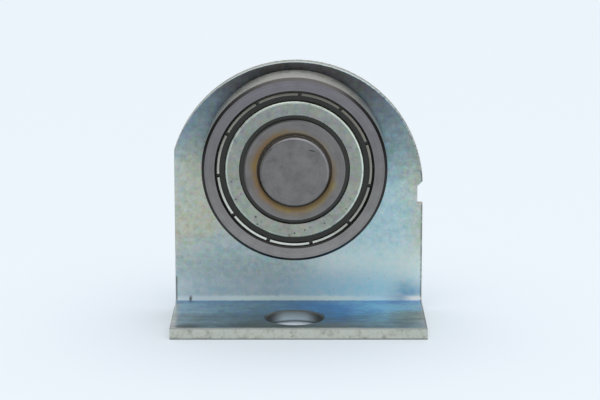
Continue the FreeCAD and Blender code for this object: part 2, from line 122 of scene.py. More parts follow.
# Painted light: the upright is paler right of the roller, as if lit from that side
pale_side = add("MapRange", {"Value": x, "From Min": 2 * MM, "From Max": 14 * MM},
                interpolation_type="SMOOTHSTEP")[0]
pale_height = add("ValToRGB", {"Fac": height}, stops=[
    (0.05, NONE), (0.20, FULL), (0.55, FULL), (0.80, NONE)])[0]
pale = add("Math", {0: pale_side, 1: pale_height}, operation="MULTIPLY")[0]
zinc_colour = add("Mix", {FACTOR: pale, FROM: zinc_colour, TO: linear("#b3d1d6")}, data_type="RGBA")[MIXED]
tan = add("Math", {0: clouds, 1: 8 * MM, 2: x}, operation="MULTIPLY_ADD")[0]
tan = add("MapRange", {"Value": tan, "From Min": 20.5 * MM, "From Max": 26 * MM, "To Max": 0.8},
          interpolation_type="SMOOTHSTEP")[0]
zinc_colour = add("Mix", {FACTOR: tan, FROM: zinc_colour, TO: linear("#bfc4b3")}, data_type="RGBA")[MIXED]

# Painted light under the roller, where the roller shades the upright: paler most at its foot and right of the
# middle, and a pale blue film from the middle to the right that also stands in for light
low = add("MapRange", {"Value": z, "From Min": 15 * MM, "From Max": 6 * MM, "To Max": 0.8},
          interpolation_type="SMOOTHSTEP")[0]
low = add("Math", {0: low, 1: inner_skin}, operation="MULTIPLY")[0]
low_side = add("MapRange", {"Value": x, "From Min": -2 * MM, "From Max": 8 * MM},
               interpolation_type="SMOOTHSTEP")[0]
low_light_colour = add("Mix", {FACTOR: low_side, FROM: linear("#afc2bf"), TO: linear("#f0fff8")},
               data_type="RGBA")[MIXED]
zinc_colour = add("Mix", {FACTOR: low, FROM: zinc_colour, TO: low_light_colour}, data_type="RGBA")[MIXED]
foot_end = add("MapRange", {"Value": z, "From Min": 6.8 * MM, "From Max": 3.6 * MM},
               interpolation_type="SMOOTHSTEP")[0]
foot_end = add("Math", {0: foot_end, 1: right_end}, operation="MULTIPLY")[0]
foot_end = add("Math", {0: foot_end, 1: inner_skin}, operation="MULTIPLY")[0]
zinc_colour = add("Mix", {FACTOR: foot_end, FROM: zinc_colour, TO: linear("#a2c6de")}, data_type="RGBA")[MIXED]
foot = add("MapRange", {"Value": z, "From Min": 9.5 * MM, "From Max": 4.0 * MM},
           interpolation_type="SMOOTHSTEP")[0]
foot = add("Math", {0: foot, 1: inner_skin}, operation="MULTIPLY")[0]
foot = add("Math", {0: foot, 1: foot_end}, operation="SUBTRACT")[0]
foot_pale = add("Math", {0: foot, 1: 0.55}, operation="MULTIPLY")[0]
zinc_colour = add("Mix", {FACTOR: foot_pale, FROM: zinc_colour, TO: linear("#e4f6ff")}, data_type="RGBA")[MIXED]
blue_side = add("MapRange", {"Value": x, "From Min": -6 * MM, "From Max": 8 * MM},
                interpolation_type="SMOOTHSTEP")[0]
blue_fade = add("MapRange", {"Value": right_end, "To Min": 1.0, "To Max": 0.3})[0]
blue_side = add("Math", {0: blue_side, 1: blue_fade}, operation="MULTIPLY")[0]
# The blue film is painted pale, partly as painted light
blue = add("Math", {0: clouds, 1: 5 * MM, 2: z}, operation="MULTIPLY_ADD")[0]
blue = add("MapRange", {"Value": blue, "From Min": 12 * MM, "From Max": 7 * MM, "To Max": 0.9},
           interpolation_type="SMOOTHSTEP")[0]
blue = add("Math", {0: blue_side, 1: blue}, operation="MULTIPLY")[0]
blue = add("Math", {0: blue, 1: inner_skin}, operation="MULTIPLY")[0]
zinc_colour = add("Mix", {FACTOR: blue, FROM: zinc_colour, TO: linear("#cdf6ff")}, data_type="RGBA")[MIXED]

# Painted shade: towards the round top the front of the upright is darkened and greyed, a little more on the
# right
upright_top_shade_height = add("Math", {0: clouds, 1: 0.12, 2: height}, operation="MULTIPLY_ADD")[0]
upright_top_shade_height = add("Math", {0: x, 1: 1 / (550 * MM), 2: upright_top_shade_height}, operation="MULTIPLY_ADD")[0]
upright_top_shade = add("ValToRGB", {"Fac": upright_top_shade_height}, stops=[
    (0.58, linear("#ffffff")), (0.74, linear("#c0c9ce")), (0.88, linear("#a8acb4")),
    (0.97, linear("#8b8485")), (1.00, linear("#867c7c"))])[0]
zinc_colour = add("Mix", {FACTOR: inner_skin, FROM: zinc_colour, TO: upright_top_shade}, data_type="RGBA",
           blend_type="MULTIPLY")[MIXED]

# The film on the flange: bluest right of the middle and dull at the right end, with painted shade across its
# middle and towards its front
across = add("MapRange", {"Value": x, "From Min": bracket_low.x, "From Max": bracket_high.x})[0]
across = add("Math", {0: across, 1: 0.25}, operation="SUBTRACT")[0]
across = add("Math", {0: clouds, 1: 0.5, 2: across}, operation="MULTIPLY_ADD")[0]
flange_colour = add("ValToRGB", {"Fac": across}, stops=[
    (0.05, linear("#b4d0e0")), (0.35, linear("#8bb0c8")), (0.61, linear("#569ada")),
    (0.80, linear("#a0d6f2")), (1.00, linear("#9cc0d4"))])[0]
# Painted shade and light: the flange is darkest across its middle and lightest near the bend
inwards = add("MapRange", {"Value": y, "From Min": bracket_low.y, "From Max": axle.y})[0]
inwards = add("Math", {0: inwards, 1: 0.15}, operation="SUBTRACT")[0]
inwards = add("Math", {0: blotch, 1: 0.3, 2: inwards}, operation="MULTIPLY_ADD")[0]
shade = add("ValToRGB", {"Fac": inwards}, stops=[
    (0.20, linear("#e6e6e6")), (0.60, linear("#cccccc")), (0.80, linear("#f6f6f6")),
    (0.97, linear("#ffffff"))])[0]
flange_colour = add("Mix", {FACTOR: 1.0, FROM: flange_colour, TO: shade}, data_type="RGBA",
                  blend_type="MULTIPLY")[MIXED]
dull_end = add("MapRange", {"Value": y, "From Min": 6 * MM, "From Max": 3 * MM},
               interpolation_type="SMOOTHSTEP")[0]
dull_end = add("Math", {0: right_end, 1: dull_end}, operation="MULTIPLY")[0]
flange_colour = add("Mix", {FACTOR: dull_end, FROM: flange_colour, TO: linear("#8b9996")},
                  data_type="RGBA")[MIXED]
# Painted shade towards the front of the flange, greyer near the hole
front_shade = add("Math", {0: rolled, 1: 4 * MM, 2: y}, operation="MULTIPLY_ADD")[0]
front_shade = add("MapRange", {"Value": front_shade, "From Min": 2.5 * MM, "From Max": -4.5 * MM},
           interpolation_type="SMOOTHSTEP")[0]
beside_hole = add("MapRange", {"Value": beside, "From Min": 6 * MM, "From Max": 14 * MM},
                  interpolation_type="SMOOTHSTEP")[0]
front_shade_colour = add("Mix", {FACTOR: beside_hole, FROM: linear("#7c827f"), TO: linear("#788f9b")},
                data_type="RGBA")[MIXED]
flange_colour = add("Mix", {FACTOR: front_shade, FROM: flange_colour, TO: front_shade_colour}, data_type="RGBA")[MIXED]

# Handling marks on the flange: finger smudges near the front, a dark smear at the left, a rubbed left end
fingered = add("VectorMath", {0: at, 1: (1 / (7 * MM), 1 / (2.5 * MM), 0.0)}, operation="MULTIPLY")[0]
fingered = add("TexNoise", {"Vector": fingered, "Scale": 1.0, "Detail": 3.0})["Fac"]
fingered = add("MapRange", {"Value": fingered, "From Min": 0.50, "From Max": 0.64, "To Max": 0.35})[0]
near_front = add("MapRange", {"Value": y, "From Min": 3 * MM, "From Max": -2 * MM},
                 interpolation_type="SMOOTHSTEP")[0]
fingered = add("Math", {0: fingered, 1: near_front}, operation="MULTIPLY")[0]
flange_colour = add("Mix", {FACTOR: fingered, FROM: flange_colour, TO: linear("#4f4c42")},
                  data_type="RGBA")[MIXED]
SMEAR = (-18.2 * MM, bracket_low.y + 1.3 * MM, 0.0)
SMEAR_HALF_LENGTH, SMEAR_HALF_WIDTH = 3.6 * MM, 1.4 * MM
smear = add("VectorMath", {0: at, 1: SMEAR}, operation="SUBTRACT")[0]
smear = add("VectorMath", {0: smear, 1: (1 / SMEAR_HALF_LENGTH, 1 / SMEAR_HALF_WIDTH, 0.0)},
            operation="MULTIPLY")[0]
smear = add("VectorMath", {0: smear}, operation="LENGTH")["Value"]
smear = add("MapRange", {"Value": smear, "From Min": 1.0, "From Max": 0.4, "To Max": 0.6})[0]
flange_colour = add("Mix", {FACTOR: smear, FROM: flange_colour, TO: linear("#4a444a")}, data_type="RGBA")[MIXED]
rubbed_end = add("MapRange", {"Value": x, "From Min": bracket_low.x + 1.3 * MM,
                              "From Max": bracket_low.x + 0.6 * MM, "To Max": 0.5})[0]
flange_colour = add("Mix", {FACTOR: rubbed_end, FROM: flange_colour, TO: linear("#cfcdc4")},
                  data_type="RGBA")[MIXED]

# Deeper blue in the corner of the bend, blue film darkened by painted shade from the upright, and soft
# blotches all over the flange
corner = add("MapRange", {"Value": y, "From Min": 8.5 * MM, "From Max": 11 * MM, "To Max": 0.7},
             interpolation_type="SMOOTHSTEP")[0]
corner_colour = add("Mix", {FACTOR: pale_side, FROM: linear("#6c9ac4"), TO: linear("#7caee2")},
                  data_type="RGBA")[MIXED]
flange_colour = add("Mix", {FACTOR: corner, FROM: flange_colour, TO: corner_colour}, data_type="RGBA")[MIXED]
flange_colour = add("Mix", {FACTOR: 0.45, FROM: flange_colour, TO: blotch}, data_type="RGBA",
                  blend_type="OVERLAY")[MIXED]
flange_colour = add("Mix", {FACTOR: 0.12, FROM: flange_colour, TO: rolled}, data_type="RGBA",
                  blend_type="OVERLAY")[MIXED]
on_flange = add("MapRange", {"Value": z, "From Min": FOLD_TOP, "From Max": FLANGE_TOP},
                interpolation_type="SMOOTHSTEP")[0]
facing_up = add("MapRange", {"Value": nz, "From Min": 0.0, "From Max": 0.3})[0]
on_flange = add("Math", {0: on_flange, 1: facing_up}, operation="MULTIPLY")[0]
zinc_colour = add("Mix", {FACTOR: on_flange, FROM: zinc_colour, TO: flange_colour}, data_type="RGBA")[MIXED]

# The plainer back, then crystals, rolling marks and a few small dark pits all over
backed = add("Math", {0: outer_skin, 1: 0.75}, operation="MULTIPLY")[0]
zinc_colour = add("Mix", {FACTOR: backed, FROM: zinc_colour, TO: linear("#a0abb0")}, data_type="RGBA")[MIXED]
mottled = add("MapRange", {"Value": outer_skin, "To Min": 0.60, "To Max": 0.35})[0]
zinc_colour = add("Mix", {FACTOR: mottled, FROM: zinc_colour, TO: mottle}, data_type="RGBA", blend_type="OVERLAY")[MIXED]
tinted = add("MapRange", {"Value": outer_skin, "To Min": 0.45, "To Max": 0.20})[0]
zinc_colour = add("Mix", {FACTOR: tinted, FROM: zinc_colour, TO: tints}, data_type="RGBA", blend_type="OVERLAY")[MIXED]
zinc_colour = add("Mix", {FACTOR: 0.15, FROM: zinc_colour, TO: rolled}, data_type="RGBA", blend_type="OVERLAY")[MIXED]
pits = add("TexVoronoi", {"Vector": at, "Scale": 1 / (0.7 * MM)})
pit = add("MapRange", {"Value": pits["Distance"], "From Min": 0.30, "From Max": 0.10, "To Max": 0.22})[0]
chosen = add("SeparateColor", {"Color": pits["Color"]})[0]
chosen = add("Math", {0: chosen, 1: 0.85}, operation="GREATER_THAN")[0]
pit = add("Math", {0: pit, 1: chosen}, operation="MULTIPLY")[0]
zinc_colour = add("Mix", {FACTOR: pit, FROM: zinc_colour, TO: linear("#7a8488")}, data_type="RGBA")[MIXED]

# Painted highlight along the inside of the bend, lightest under the roller, with one dark nick at the left
uneven = add("Math", {0: mottle, 1: 0.5}, operation="SUBTRACT")[0]
leaning = add("Math", {0: uneven, 1: 0.5, 2: ny}, operation="MULTIPLY_ADD")[0]
leaning = add("MapRange", {"Value": leaning, "From Min": -0.10, "From Max": -0.35})[0]
rising = add("Math", {0: uneven, 1: 0.5, 2: nz}, operation="MULTIPLY_ADD")[0]
rising = add("MapRange", {"Value": rising, "From Min": 0.12, "From Max": 0.40})[0]
bend_highlight = add("Math", {0: leaning, 1: rising}, operation="MULTIPLY")[0]
# Painted light on the bend where the roller shades it
bend_light_under_roller = add("MapRange", {"Value": beside, "From Min": 18 * MM, "From Max": 6 * MM},
                   interpolation_type="SMOOTHSTEP")[0]
bend_highlight_colour = add("Mix", {FACTOR: blue_side, FROM: linear("#d2e4ec"), TO: linear("#c4ecff")},
                data_type="RGBA")[MIXED]
bend_highlight_colour = add("Mix", {FACTOR: bend_light_under_roller, FROM: bend_highlight_colour, TO: linear("#eaffff")},
                data_type="RGBA")[MIXED]
bend_highlight_colour = add("Mix", {FACTOR: right_end, FROM: bend_highlight_colour, TO: linear("#9abbd0")}, data_type="RGBA")[MIXED]
bend_highlight_end = add("MapRange", {"Value": x, "From Min": 19 * MM, "From Max": 21 * MM})[0]
bend_highlight_colour = add("Mix", {FACTOR: bend_highlight_end, FROM: bend_highlight_colour, TO: linear("#e8eef0")}, data_type="RGBA")[MIXED]
zinc_colour = add("Mix", {FACTOR: bend_highlight, FROM: zinc_colour, TO: bend_highlight_colour}, data_type="RGBA")[MIXED]
NICK_X = -18.6 * MM
nick = add("Math", {0: x, 1: NICK_X}, operation="SUBTRACT")[0]
nick = add("Math", {0: nick}, operation="ABSOLUTE")[0]
nick = add("MapRange", {"Value": nick, "From Min": 0.34 * MM, "From Max": 0.10 * MM})[0]
nick_height = add("MapRange", {"Value": z, "From Min": 2.9 * MM, "From Max": 2.4 * MM})[0]
nick = add("Math", {0: nick, 1: nick_height}, operation="MULTIPLY")[0]
nick_skin = add("MapRange", {"Value": ny, "From Min": -0.05, "From Max": -0.3})[0]
nick = add("Math", {0: nick, 1: nick_skin}, operation="MULTIPLY")[0]
zinc_colour = add("Mix", {FACTOR: nick, FROM: zinc_colour, TO: linear("#5c6468")}, data_type="RGBA")[MIXED]

# The wall of the bolt hole: painted light low down, painted shade at its top, its foot and its sides
from_hole = add("VectorMath", {0: at, 1: (1, 1, 0)}, operation="MULTIPLY")[0]
from_hole = add("VectorMath", {0: from_hole}, operation="LENGTH")["Value"]
in_hole = add("MapRange", {"Value": from_hole, "From Min": HOLE_RADIUS + 0.3 * MM,
                           "From Max": HOLE_RADIUS + 0.2 * MM})[0]
up_wall = add("MapRange", {"Value": z, "From Max": FLANGE_TOP})[0]
wall_light_and_shade = add("ValToRGB", {"Fac": up_wall}, stops=[
    (0.04, linear("#6f7578")), (0.20, linear("#c8dae4")), (0.60, linear("#a3b2ba")),
    (1.0, linear("#6a6d6d"))])[0]
wall_side_shade = add("MapRange", {"Value": beside, "From Min": 0.3 * HOLE_RADIUS, "From Max": 0.9 * HOLE_RADIUS},
              interpolation_type="SMOOTHSTEP")[0]
wall_light_and_shade = add("Mix", {FACTOR: wall_side_shade, FROM: wall_light_and_shade, TO: linear("#454744")}, data_type="RGBA")[MIXED]
zinc_colour = add("Mix", {FACTOR: in_hole, FROM: zinc_colour, TO: wall_light_and_shade}, data_type="RGBA")[MIXED]

# Dark lines: a broken one along the right side, and one low down at the upright's left
dark_line = add("MapRange", {"Value": x, "From Min": bracket_high.x - 0.40 * MM,
                       "From Max": bracket_high.x - 0.20 * MM})[0]
dark_line_breaks = add("MapRange", {"Value": mottle, "From Min": 0.40, "From Max": 0.52,
                              "To Min": 0.2, "To Max": 0.85})[0]
dark_line = add("Math", {0: dark_line, 1: dark_line_breaks}, operation="MULTIPLY")[0]
left_dark_line = add("MapRange", {"Value": x, "From Min": bracket_low.x + 0.42 * MM,
                            "From Max": bracket_low.x + 0.25 * MM})[0]
left_dark_line_height = add("MapRange", {"Value": z, "From Min": 6.6 * MM, "From Max": 6.1 * MM, "To Max": 0.8})[0]
left_dark_line = add("Math", {0: left_dark_line, 1: left_dark_line_height}, operation="MULTIPLY")[0]
left_dark_line = add("Math", {0: left_dark_line, 1: inner_skin}, operation="MULTIPLY")[0]
dark_line = add("Math", {0: dark_line, 1: left_dark_line}, operation="MAXIMUM")[0]
zinc_colour = add("Mix", {FACTOR: dark_line, FROM: zinc_colour, TO: linear("#5a5d5c")}, data_type="RGBA")[MIXED]

# The sheared edges of the sides, the round top and the flange's front: torn steel with a rough coat of zinc
MIDDLE_X = (bracket_low.x + bracket_high.x) / 2
from_middle = add("Math", {0: x, 1: MIDDLE_X}, operation="SUBTRACT")[0]
from_middle = add("Math", {0: from_middle}, operation="ABSOLUTE")[0]
side_edge = add("MapRange", {"Value": from_middle, "From Min": 19 * MM, "From Max": 20 * MM})[0]
sideways = add("Math", {0: nx}, operation="ABSOLUTE")[0]
sideways = add("MapRange", {"Value": sideways, "From Min": 0.5, "From Max": 0.8})[0]
side_edge = add("Math", {0: side_edge, 1: sideways}, operation="MULTIPLY")[0]
nose_edge = add("MapRange", {"Value": z, "From Min": 10 * MM, "From Max": 11 * MM})[0]
off_face = add("Math", {0: ny}, operation="ABSOLUTE")[0]
off_face = add("MapRange", {"Value": off_face, "From Min": 0.95, "From Max": 0.6})[0]
nose_edge = add("Math", {0: nose_edge, 1: off_face}, operation="MULTIPLY")[0]
front_edge = add("MapRange", {"Value": y, "From Min": bracket_low.y + 0.5 * MM,
                              "From Max": bracket_low.y + 0.2 * MM})[0]
frontwards = add("MapRange", {"Value": ny, "From Min": -0.5, "From Max": -0.8})[0]
front_edge = add("Math", {0: front_edge, 1: frontwards}, operation="MULTIPLY")[0]
sheared = add("Math", {0: side_edge, 1: nose_edge}, operation="MAXIMUM")[0]
sheared = add("Math", {0: sheared, 1: front_edge}, operation="MAXIMUM")[0]
torn = add("TexNoise", {"Vector": at, "Scale": 1 / (1.3 * MM), "Detail": 5.0, "Roughness": 0.7})["Fac"]
torn_zinc = add("ValToRGB", {"Fac": torn}, stops=[
    (0.25, linear("#83837a")), (0.42, linear("#bec1b6")), (0.55, linear("#ced1c7")),
    (0.75, linear("#bbc1be"))])[0]
torn_zinc = add("Mix", {FACTOR: nose_edge, FROM: torn_zinc, TO: linear("#b1b2ab")}, data_type="RGBA")[MIXED]
zinc_colour = add("Mix", {FACTOR: sheared, FROM: zinc_colour, TO: torn_zinc}, data_type="RGBA")[MIXED]

# Dark flecks where the edge of the round top broke away, on its far half and down its right side
NOSE_MIDDLE = (bracket_high.x - NOSE_RADIUS, 0.0, bracket_high.z - NOSE_RADIUS)
from_nose = add("VectorMath", {0: at, 1: NOSE_MIDDLE}, operation="SUBTRACT")[0]
from_nose = add("VectorMath", {0: from_nose, 1: (1, 0, 1)}, operation="MULTIPLY")[0]
from_nose = add("VectorMath", {0: from_nose}, operation="LENGTH")["Value"]
nose_rim = add("MapRange", {"Value": from_nose, "From Min": NOSE_RADIUS - 0.40 * MM,
                            "From Max": NOSE_RADIUS - 0.20 * MM})[0]
nose_height = add("MapRange", {"Value": z, "From Min": 20 * MM, "From Max": 24 * MM})[0]
nose_rim = add("Math", {0: nose_rim, 1: nose_height}, operation="MULTIPLY")[0]
far_half = add("MapRange", {"Value": y, "From Min": bracket_high.y - 1.9 * MM,
                            "From Max": bracket_high.y - 1.4 * MM})[0]
nose_right = add("MapRange", {"Value": x, "From Min": 13 * MM, "From Max": 16 * MM})[0]
broken_away = add("Math", {0: far_half, 1: nose_right}, operation="MAXIMUM")[0]
nose_rim = add("Math", {0: nose_rim, 1: broken_away}, operation="MULTIPLY")[0]
fleck = add("VectorMath", {0: at, 1: (1.0, 0.3, 1.0)}, operation="MULTIPLY")[0]
fleck = add("TexNoise", {"Vector": fleck, "Scale": 1 / (0.45 * MM), "Detail": 3.0, "Roughness": 0.7})["Fac"]
fleck = add("MapRange", {"Value": fleck, "From Min": 0.46, "From Max": 0.62, "To Max": 0.8})[0]
fleck = add("Math", {0: fleck, 1: nose_rim}, operation="MULTIPLY")[0]
zinc_colour = add("Mix", {FACTOR: fleck, FROM: zinc_colour, TO: linear("#53544f")}, data_type="RGBA")[MIXED]

# Darker along the bottom of the flange's front, and painted shade on the rounded edges of the flange's front
# and the bolt hole, lighter at the front
dark_foot_line = add("MapRange", {"Value": z, "From Min": 0.24 * MM, "From Max": 0.10 * MM})[0]
dark_foot_line = add("Math", {0: front_edge, 1: dark_foot_line}, operation="MULTIPLY")[0]
zinc_colour = add("Mix", {FACTOR: dark_foot_line, FROM: zinc_colour, TO: linear("#6a6b66")}, data_type="RGBA")[MIXED]
off_level = add("MapRange", {"Value": nz, "From Min": 0.97, "From Max": 0.85})[0]
off_upright = add("MapRange", {"Value": nz, "From Min": 0.10, "From Max": 0.25})[0]
rounded_edge_shade = add("Math", {0: off_level, 1: off_upright}, operation="MULTIPLY")[0]
before_fold = add("MapRange", {"Value": y, "From Min": 8 * MM, "From Max": 7 * MM})[0]
rounded_edge_shade = add("Math", {0: rounded_edge_shade, 1: before_fold}, operation="MULTIPLY")[0]
at_front = add("MapRange", {"Value": y, "From Min": bracket_low.y + 1.5 * MM,
                            "From Max": bracket_low.y + 1.0 * MM})[0]
rounded_edge_shade_colour = add("Mix", {FACTOR: at_front, FROM: linear("#6e726e"), TO: linear("#979c97")},
                data_type="RGBA")[MIXED]
zinc_colour = add("Mix", {FACTOR: rounded_edge_shade, FROM: zinc_colour, TO: rounded_edge_shade_colour}, data_type="RGBA")[MIXED]

# Torn edges, the painted highlight of the bend and the painted shade of the rounded edges are rougher. The
# painted light at the foot, the blue film, the bend's highlight and the flecks hide the metal's gloss
rough = add("MapRange", {"Value": mottle, "From Min": 0.3, "From Max": 0.7,
                         "To Min": 0.28, "To Max": 0.40})[0]
coarse = add("Math", {0: sheared, 1: bend_highlight}, operation="MAXIMUM")[0]
coarse = add("Math", {0: coarse, 1: rounded_edge_shade}, operation="MAXIMUM")[0]
rough = add("MapRange", {"Value": coarse, "To Min": rough, "To Max": 0.5})[0]
relief = add("Math", {0: rolled, 1: 0.12}, operation="MULTIPLY")[0]
relief = add("Math", {0: sheared, 1: torn, 2: relief}, operation="MULTIPLY_ADD")[0]
dents = add("Bump", {"Strength": 0.25, "Distance": 0.08 * MM, "Height": relief})[0]
foot_light_and_blue = add("Math", {0: foot, 1: blue}, operation="MAXIMUM")[0]
bare = add("MapRange", {"Value": foot_light_and_blue, "To Min": 0.8, "To Max": 0.1})[0]
chalky = add("Math", {0: bend_highlight, 1: fleck}, operation="MAXIMUM")[0]
bare = add("MapRange", {"Value": chalky, "To Min": bare, "To Max": 0.0})[0]
shader = add("BsdfPrincipled", {"Base Color": zinc_colour, "Metallic": bare, "Roughness": rough, "Normal": dents})
add("OutputMaterial", {"Surface": shader[0]})
dress(zinc, "bracket")

# Axle pin
# A plain pin turned from bar. Its front end stands proud of the bearing, a collar keeps the bearing off the
# plate, and its tail is riveted over behind the plate.
PIN_RADIUS = 6.0 * MM
front = ring_low.y - axle.y


def round_axle(add):
    """The place from the axle's middle, the radius and the depth, for a material on a round piece."""
    at = add("VectorMath", {0: add("TexCoord")["Object"], 1: axle}, operation="SUBTRACT")[0]
    flat = add("VectorMath", {0: at, 1: (1, 0, 1)}, operation="MULTIPLY")[0]
    radius = add("VectorMath", {0: flat}, operation="LENGTH")["Value"]
    return at, radius, add("SeparateXYZ", {"Vector": at})["Y"]


# Turned bar steel: mid-grey, with the faint rings of a facing tool, soft smudges, one short scratch, a
# painted highlight on the edge at the upper right and dried oil where the pin enters the bearing, painted
# pale as painted light.
pin_steel, add = new_material("bright_bar_steel_faced_on_the_lathe")
at, radius, depth = round_axle(add)
# Tool feed is near 0.1 mm; the rings are drawn 0.3 mm apart, as fine as the picture can show.
rings = add("TexNoise", {"W": radius, "Scale": 1 / (0.3 * MM), "Detail": 1.0}, noise_dimensions="1D")["Fac"]
smudge = add("TexNoise", {"Vector": at, "Scale": 1 / (2.6 * MM), "Detail": 5.0, "Roughness": 0.65,
                          "Distortion": 0.4})["Fac"]
tone = add("ValToRGB", {"Fac": smudge}, stops=[
    (0.30, linear("#696766")), (0.50, linear("#7b7978")), (0.70, linear("#858381"))])[0]
tone = add("Mix", {FACTOR: 0.05, FROM: tone, TO: rings}, data_type="RGBA", blend_type="OVERLAY")[MIXED]
SCRATCH = (3.0 * MM, 0.0, 3.75 * MM)
SCRATCH_TILT = -0.2
slid = add("VectorMath", {0: at, 1: SCRATCH}, operation="SUBTRACT")[0]
slid = add("VectorRotate", {"Vector": slid, "Angle": SCRATCH_TILT}, rotation_type="Y_AXIS")[0]
slid = add("VectorMath", {0: slid}, operation="ABSOLUTE")[0]
slid = add("SeparateXYZ", {"Vector": slid})
scratch_length = add("MapRange", {"Value": slid["X"], "From Min": 0.65 * MM, "From Max": 0.35 * MM})[0]
scratch_width = add("MapRange", {"Value": slid["Z"], "From Min": 0.14 * MM, "From Max": 0.07 * MM})[0]
scratch = add("Math", {0: scratch_length, 1: scratch_width}, operation="MULTIPLY")[0]
on_end = add("MapRange", {"Value": depth, "From Min": front, "From Max": front - 1 * MM})[0]
scratch = add("Math", {0: scratch, 1: on_end}, operation="MULTIPLY")[0]
tone = add("Mix", {FACTOR: scratch, FROM: tone, TO: linear("#4a4846")}, data_type="RGBA")[MIXED]
# Painted highlight on the edge at the upper right
edge_highlight = add("MapRange", {"Value": radius, "From Min": PIN_RADIUS - 0.45 * MM,
                               "From Max": PIN_RADIUS - 0.30 * MM})[0]
edge_depth = add("MapRange", {"Value": depth, "From Min": front - 1.2 * MM, "From Max": front - 1.6 * MM})[0]
edge_highlight = add("Math", {0: edge_highlight, 1: edge_depth}, operation="MULTIPLY")[0]
rough = add("MapRange", {"Value": smudge, "From Min": 0.3, "From Max": 0.7,
                         "To Min": 0.26, "To Max": 0.36})[0]
rough = add("MapRange", {"Value": edge_highlight, "To Min": rough, "To Max": 0.5})[0]
UPPER_RIGHT = (0.45, 0.0, 0.9)
edge_highlight_side = add("VectorMath", {0: at, 1: UPPER_RIGHT}, operation="DOT_PRODUCT")["Value"]
edge_highlight_side = add("Math", {0: smudge, 1: 4 * MM, 2: edge_highlight_side}, operation="MULTIPLY_ADD")[0]
edge_highlight_side = add("MapRange", {"Value": edge_highlight_side, "From Min": 3 * MM, "From Max": 7 * MM})[0]
edge_highlight = add("Math", {0: edge_highlight, 1: edge_highlight_side}, operation="MULTIPLY")[0]
tone = add("Mix", {FACTOR: edge_highlight, FROM: tone, TO: linear("#9d9ca0")}, data_type="RGBA")[MIXED]
# Dried oil on the flank, painted pale as painted light where the flank is shaded
oil_and_painted_light = add("MapRange", {"Value": radius, "From Min": PIN_RADIUS - 0.10 * MM,
                             "From Max": PIN_RADIUS - 0.03 * MM})[0]
oil_depth = add("MapRange", {"Value": depth, "From Min": front - 0.7 * MM, "From Max": front - 0.1 * MM})[0]
oil_and_painted_light = add("Math", {0: oil_and_painted_light, 1: oil_depth}, operation="MULTIPLY")[0]
tone = add("Mix", {FACTOR: oil_and_painted_light, FROM: tone, TO: linear("#968f84")}, data_type="RGBA")[MIXED]
bare = add("MapRange", {"Value": oil_and_painted_light, "To Min": 1.0, "To Max": 0.2})[0]
dents = add("Bump", {"Strength": 0.15, "Distance": 0.02 * MM, "Height": rings})[0]
shader = add("BsdfPrincipled", {"Base Color": tone, "Metallic": bare, "Roughness": rough, "Normal": dents})
add("OutputMaterial", {"Surface": shader[0]})
dress(pin_steel, "axle_pin")

# Inner ring
# Hardened and ground bearing steel, pressed on the pin up to its collar. Oil that crept out of the press fit
# has dried to a brown stain round the bore.
STEP_RADIUS = 8.66 * MM


def up_round_axle(add, at, radius):
    """0 at the bottom of a round piece and 1 at its top."""
    rise = add("Math", {0: add("SeparateXYZ", {"Vector": at})["Z"], 1: radius}, operation="DIVIDE")[0]
    return add("MapRange", {"Value": rise, "From Min": -1.0, "From Max": 1.0})[0]


# Ground bearing steel: a smooth grey face with faint rings and a little haze, browned by the oil from the
# bore outwards, with a dark crust next to the pin that is painted lighter towards the top as painted light,
# and a dark step at its outer edge with painted shadow at its upper left.
inner_steel, add = new_material("ground_bearing_steel_oil_stained")
at, radius, depth = round_axle(add)
outward = add("VectorMath", {0: at}, operation="NORMALIZE")[0]
# Marks of a grinding wheel are under 0.05 mm; they are drawn 0.35 mm apart, as fine as the picture can show.
grind = add("TexNoise", {"W": radius, "Scale": 1 / (0.35 * MM), "Detail": 1.0}, noise_dimensions="1D")["Fac"]
haze = add("TexNoise", {"Vector": at, "Scale": 1 / (2.2 * MM), "Detail": 4.0, "Roughness": 0.6})["Fac"]
tone = add("ValToRGB", {"Fac": haze}, stops=[
    (0.30, linear("#757170")), (0.55, linear("#807d7b")), (0.75, linear("#868382"))])[0]
tone = add("Mix", {FACTOR: 0.12, FROM: tone, TO: grind}, data_type="RGBA", blend_type="OVERLAY")[MIXED]

# The stain reaches further at the lower left, where the oil ran, and is burnt brown at the upper left
UPPER_LEFT, OIL_RUN = (-0.75, 0.0, 0.66), (-0.20, 0.0, -0.44)
creep = add("TexNoise", {"Vector": at, "W": 2.0, "Scale": 1 / (3.6 * MM), "Detail": 4.0, "Roughness": 0.6},
            noise_dimensions="4D")["Fac"]
upper_left = add("VectorMath", {0: outward, 1: UPPER_LEFT}, operation="DOT_PRODUCT")["Value"]
burnt = add("MapRange", {"Value": upper_left, "From Min": 0.45, "From Max": 0.85, "To Max": 0.8})[0]
spread = add("VectorMath", {0: outward, 1: OIL_RUN}, operation="DOT_PRODUCT")["Value"]
spread = add("Math", {0: spread, 1: 0.75}, operation="SUBTRACT")[0]
spread = add("Math", {0: creep, 1: 1.6, 2: spread}, operation="MULTIPLY_ADD")[0]
spread = add("Math", {0: burnt, 1: 0.30, 2: spread}, operation="MULTIPLY_ADD")[0]
reach = add("Math", {0: spread, 1: 1.8 * MM, 2: PIN_RADIUS + 1.75 * MM}, operation="MULTIPLY_ADD")[0]
stain = add("MapRange", {"Value": radius, "From Min": reach, "From Max": PIN_RADIUS + 0.2 * MM},
            interpolation_type="SMOOTHSTEP")[0]
strength = add("MapRange", {"Value": spread, "From Min": -0.45, "From Max": 0.3,
                            "To Min": 0.25, "To Max": 1.0})[0]
stain = add("Math", {0: stain, 1: strength}, operation="MULTIPLY")[0]
oil = add("ValToRGB", {"Fac": creep}, stops=[
    (0.35, linear("#7d5230")), (0.50, linear("#8f7028")), (0.65, linear("#968430"))])[0]
